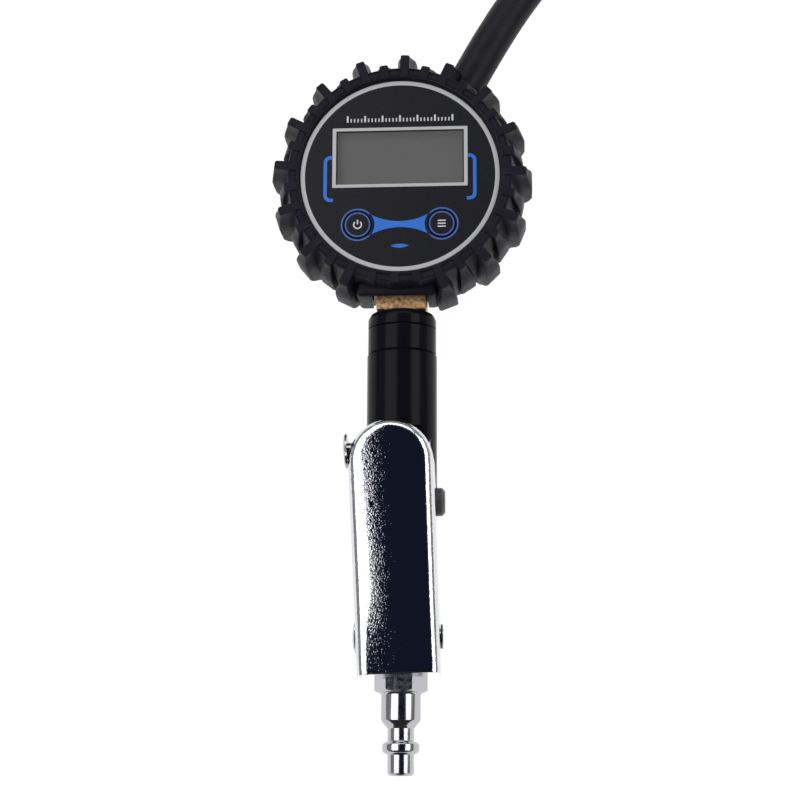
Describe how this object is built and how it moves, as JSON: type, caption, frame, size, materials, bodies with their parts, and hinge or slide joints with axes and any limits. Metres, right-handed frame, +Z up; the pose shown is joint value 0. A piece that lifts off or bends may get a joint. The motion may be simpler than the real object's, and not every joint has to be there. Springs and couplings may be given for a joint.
{
  "type": "tire pressure gauge",
  "caption": "Handheld digital tyre gauge with a lugged rubber boot, an inline inflator handle with a squeeze lever and a bleed button, an air plug, and a short hose with a clip-on chuck.",
  "frame": {"origin": "under the middle of the object without its hose, on the surface that it lies on", "axes": "+X to the right of the dial, +Y from the air inlet to the gauge head, +Z up through the dial"},
  "size_m": [0.2015, 0.2968, 0.0372],
  "materials": {
    "boot_rubber": "matte moulded rubber, faint bluish black",
    "black_plastic": "fine moulded texture",
    "dial_film": "printed polycarbonate film, satin",
    "print_blue": "blue screen print",
    "print_silver": "silver screen print",
    "print_white": "white screen print",
    "clear_plastic": "clear acrylic window",
    "lcd_glass": "blank grey liquid crystal panel",
    "board_green": "solder mask",
    "chip_black": "moulded epoxy",
    "nickel_steel": "bright nickel-plated steel",
    "brass": "machined brass, a little tarnished",
    "seal_rubber": "smooth nitrile",
    "copper_washer": "annealed copper",
    "black_anodised": "gloss black anodised aluminium",
    "chrome": "bright chrome plate",
    "black_oxide": "black oxide spring steel",
    "plated_steel": "bright zinc plate",
    "hose_rubber": "smooth matte hose cover"
  },
  "bodies": {
    "root": {"rubber_boot": "boot_rubber", "rear_housing": "black_plastic", "front_cover": "black_plastic", "face_overlay": "dial_film", "display_lens": "clear_plastic", "lcd_panel": "lcd_glass", "circuit_board": "board_green", "controller_chip": "chip_black", "power_switch": "nickel_steel", "function_switch": "nickel_steel", "coin_cell": "nickel_steel", "cell_clip": "nickel_steel", "housing_screws": "nickel_steel", "gauge_manifold": "brass", "pressure_sensor": "nickel_steel", "sensor_seal": "seal_rubber", "hose_nipple": "brass", "outlet_seal": "copper_washer", "hose_ferrule": "nickel_steel", "lock_ring": "black_anodised", "end_cap": "black_anodised", "end_cap_seal": "seal_rubber", "valve_body": "black_anodised", "valve_bush": "brass", "valve_spring": "nickel_steel", "valve_cap": "black_anodised", "valve_cap_seal": "seal_rubber", "pivot_pin": "plated_steel", "pivot_clip": "black_oxide", "bleed_bush": "brass", "bleed_spring": "nickel_steel", "inlet_plug": "plated_steel", "inlet_screen": "brass", "hose_root": "hose_rubber", "hose_run": "hose_rubber", "hose_end": "hose_rubber", "chuck_ferrule": "nickel_steel", "chuck_stem": "brass", "chuck_body": "brass", "chuck_seal": "seal_rubber", "chuck_depressor": "nickel_steel", "chuck_clip_pin": "nickel_steel", "chuck_spring": "nickel_steel"},
    "lever": {"trigger_lever": "chrome", "pusher_pin": "plated_steel"},
    "valve_plunger": {"plunger": "nickel_steel", "plunger_seal": "seal_rubber"},
    "power_key": {"power_button": "dial_film"},
    "function_key": {"function_button": "dial_film"},
    "bleed_valve": {"bleed_button": "black_anodised", "bleed_seal": "seal_rubber"},
    "battery_door": {"battery_cap": "black_plastic", "battery_cap_seal": "seal_rubber"},
    "clip": {"chuck_clip": "nickel_steel"}
  },
  "joints": [
    {"name": "lever_squeeze", "type": "hinge", "parent": "root", "child": "lever", "pos_m": [0, -0.07168, 0.02], "axis": [-1, 0, 0], "range_deg": [0, 3.5], "stiffness_Nm_per_rad": 6, "springref_deg": -3.44},
    {"name": "plunger_slide", "type": "slide", "parent": "root", "child": "valve_plunger", "axis": [0, 0, -1], "range_m": [0, 0.0035], "deforming": ["valve_spring"]},
    {"name": "power_press", "type": "slide", "parent": "root", "child": "power_key", "axis": [0, 0, -1], "range_m": [0, 0.0004], "stiffness_N_per_m": 800, "springref_m": -0.0004},
    {"name": "function_press", "type": "slide", "parent": "root", "child": "function_key", "axis": [0, 0, -1], "range_m": [0, 0.0004], "stiffness_N_per_m": 800, "springref_m": -0.0004},
    {"name": "bleed_press", "type": "slide", "parent": "root", "child": "bleed_valve", "axis": [-1, 0, 0], "range_m": [0, 0.0016], "stiffness_N_per_m": 1500, "springref_m": -0.0015, "deforming": ["bleed_spring"]},
    {"name": "battery_door_turn", "type": "hinge", "parent": "root", "child": "battery_door", "pos_m": [0, 0.07122, 0.0035], "axis": [0, 0, 1], "range_deg": [0, 60]},
    {"name": "clip_open", "type": "hinge", "parent": "root", "child": "clip", "pos_m": [0.152, 0.02423, 0.0172], "axis": [-1, 0, 0], "range_deg": [0, 11], "stiffness_Nm_per_rad": 0.3, "springref_deg": -17.19, "deforming": ["chuck_spring"]}
  ],
  "couplings": [
    {"joint": "plunger_slide", "follows": "lever_squeeze", "m_per_rad": 0.0555}
  ]
}
